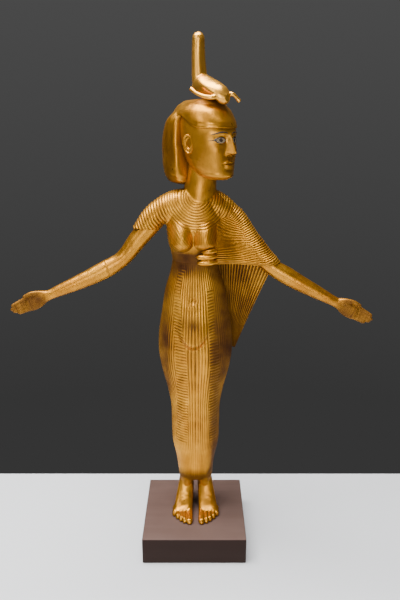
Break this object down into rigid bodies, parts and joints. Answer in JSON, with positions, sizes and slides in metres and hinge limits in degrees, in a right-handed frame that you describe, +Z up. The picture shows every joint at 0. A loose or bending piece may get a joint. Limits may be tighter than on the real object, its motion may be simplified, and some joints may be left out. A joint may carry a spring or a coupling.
{
  "type": "gilded standing female figure in the ancient egyptian manner",
  "caption": "Gilded standing woman in a pleated dress and head-cloth, arms spread low in protection, with a scorpion emblem on her crown, on a square dark wooden plinth.",
  "frame": {"origin": "centre of the plinth's underside", "axes": "+Z up, the figure's chest and feet face -Y, her left hand is on the +X side"},
  "size_m": [0.6607, 0.2, 0.9612],
  "materials": {
    "gold_leaf": "gold leaf over carved wood, brown wash in the pleats, satin",
    "pale_gold_leaf": "paler gold leaf over carved wood, satin",
    "dark_wood": "dark red-brown stained wood, satin varnish"
  },
  "bodies": {
    "root": {"figure": "gold_leaf", "scorpion_emblem": "pale_gold_leaf", "plinth": "dark_wood"}
  },
  "joints": []
}
